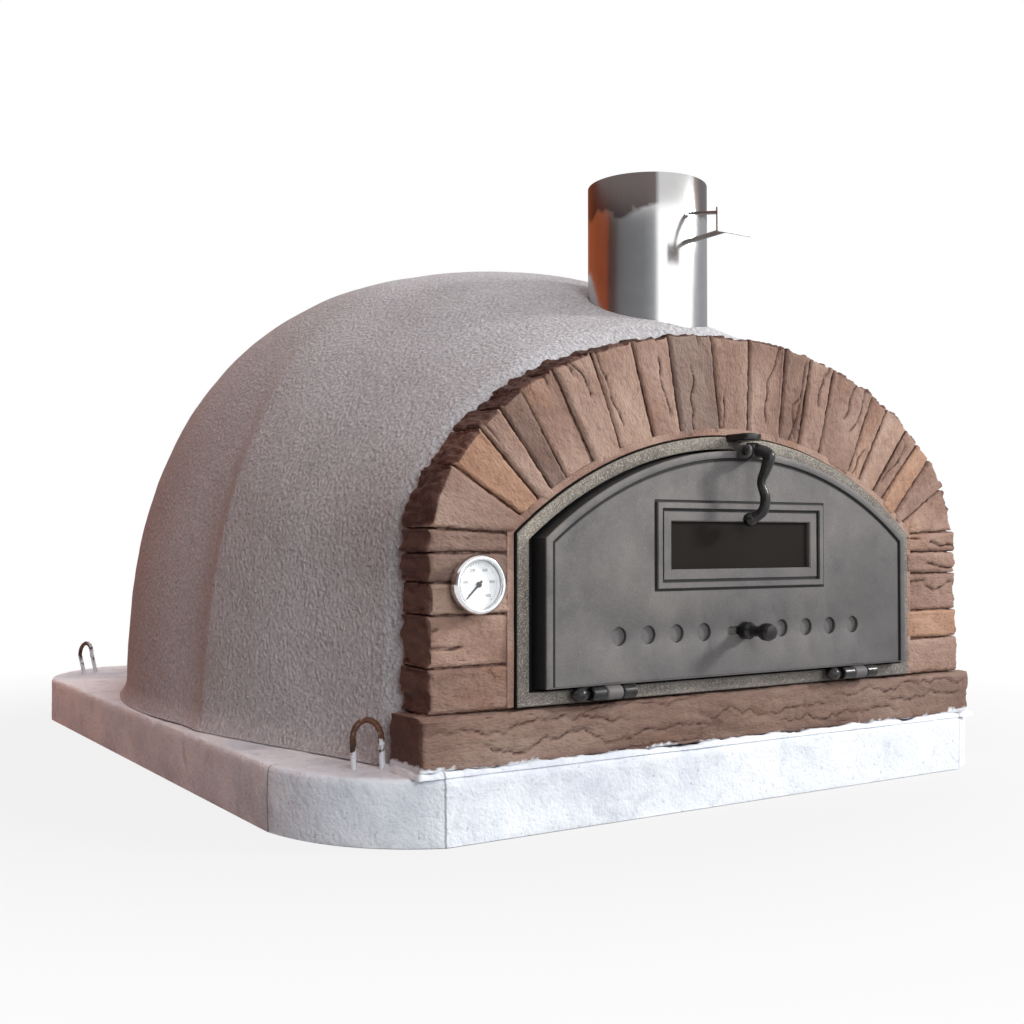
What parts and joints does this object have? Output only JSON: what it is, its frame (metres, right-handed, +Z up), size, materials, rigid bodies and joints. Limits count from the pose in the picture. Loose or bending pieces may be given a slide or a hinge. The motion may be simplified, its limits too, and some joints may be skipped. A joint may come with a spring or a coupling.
{
  "type": "wood fired pizza oven",
  "caption": "Plastered dome oven on a cast slab, with a stone arch, a drop-down cast iron door, a flue with a damper and a dial thermometer.",
  "frame": {"origin": "centre of the slab's underside", "axes": "+Z up, +X to the right of someone facing the door, -Y towards that person"},
  "size_m": [1.022, 1.3201, 0.7475],
  "materials": {
    "slab_plaster": "rough trowelled white render",
    "dome_plaster": "fine grained mineral stucco",
    "arch_stone": "split rustic stone, rough",
    "fire_brick": "matt fired clay",
    "insulation": "loose vermiculite fill",
    "frame_iron": "sand cast, dull grey",
    "door_iron": "sand cast, blackened satin",
    "black_iron": "gloss black",
    "window_glass": "dark heat resistant glass",
    "flue_steel": "stainless steel, lightly heat stained",
    "bezel_chrome": "polished",
    "dial_face": "matt white enamel",
    "pointer_black": "matt black",
    "lens_glass": "clear",
    "rebar_steel": "ribbed bar, rusted and plaster splashed"
  },
  "bodies": {
    "root": {"base_slab": "slab_plaster", "front_sill": "arch_stone", "refractory_dome": "fire_brick", "entrance_vault": "fire_brick", "hearth_floor": "fire_brick", "hearth_bed": "insulation", "insulation_fill": "insulation", "plaster_dome": "dome_plaster", "door_frame": "frame_iron", "hinge_pin_left": "black_iron", "hinge_pin_right": "black_iron", "thermometer_case": "flue_steel", "thermometer_dial": "dial_face", "thermometer_lens": "lens_glass", "thermometer_bezel": "bezel_chrome", "flue_pipe": "flue_steel", "jamb_left_1": "arch_stone", "jamb_left_2": "arch_stone", "jamb_left_3": "arch_stone", "jamb_left_4": "arch_stone", "jamb_left_5": "arch_stone", "jamb_right_1": "arch_stone", "jamb_right_2": "arch_stone", "jamb_right_3": "arch_stone", "jamb_right_4": "arch_stone", "jamb_right_5": "arch_stone", "voussoir_1": "arch_stone", "voussoir_2": "arch_stone", "voussoir_3": "arch_stone", "voussoir_4": "arch_stone", "voussoir_5": "arch_stone", "voussoir_6": "arch_stone", "voussoir_7": "arch_stone", "voussoir_8": "arch_stone", "voussoir_9": "arch_stone", "voussoir_10": "arch_stone", "voussoir_11": "arch_stone", "voussoir_12": "arch_stone", "voussoir_13": "arch_stone", "voussoir_14": "arch_stone", "voussoir_15": "arch_stone", "voussoir_16": "arch_stone", "voussoir_17": "arch_stone", "voussoir_18": "arch_stone", "voussoir_19": "arch_stone", "voussoir_20": "arch_stone", "lifting_hook_front_left": "rebar_steel", "lifting_hook_front_right": "rebar_steel", "lifting_hook_rear_left": "rebar_steel", "lifting_hook_rear_right": "rebar_steel"},
    "door": {"door_leaf": "door_iron", "window_glass": "window_glass", "window_retainer": "door_iron", "latch_pin": "black_iron"},
    "slider": {"air_slider": "door_iron", "air_knob": "black_iron"},
    "latch": {"latch_lever": "black_iron"},
    "pointer": {"thermometer_pointer": "pointer_black"},
    "damper": {"damper_disc": "flue_steel", "damper_handle": "flue_steel"}
  },
  "joints": [
    {"name": "door_drop", "type": "hinge", "parent": "root", "child": "door", "pos_m": [0, -0.641, 0.14], "axis": [1, 0, 0], "range_deg": [0, 90]},
    {"name": "latch_lift", "type": "hinge", "parent": "door", "child": "latch", "pos_m": [0, -0.657, 0.4026], "axis": [-1, 0, 0], "range_deg": [0, 30]},
    {"name": "air_slide", "type": "slide", "parent": "door", "child": "slider", "axis": [-1, 0, 0], "range_m": [0, 0.02]},
    {"name": "pointer_turn", "type": "hinge", "parent": "root", "child": "pointer", "pos_m": [-0.352, -0.6335, 0.2571], "axis": [0, 1, 0], "range_deg": [0, 270]},
    {"name": "damper_turn", "type": "hinge", "parent": "root", "child": "damper", "pos_m": [0, -0.467, 0.6645], "axis": [0, 1, 0], "range_deg": [0, 90]}
  ]
}
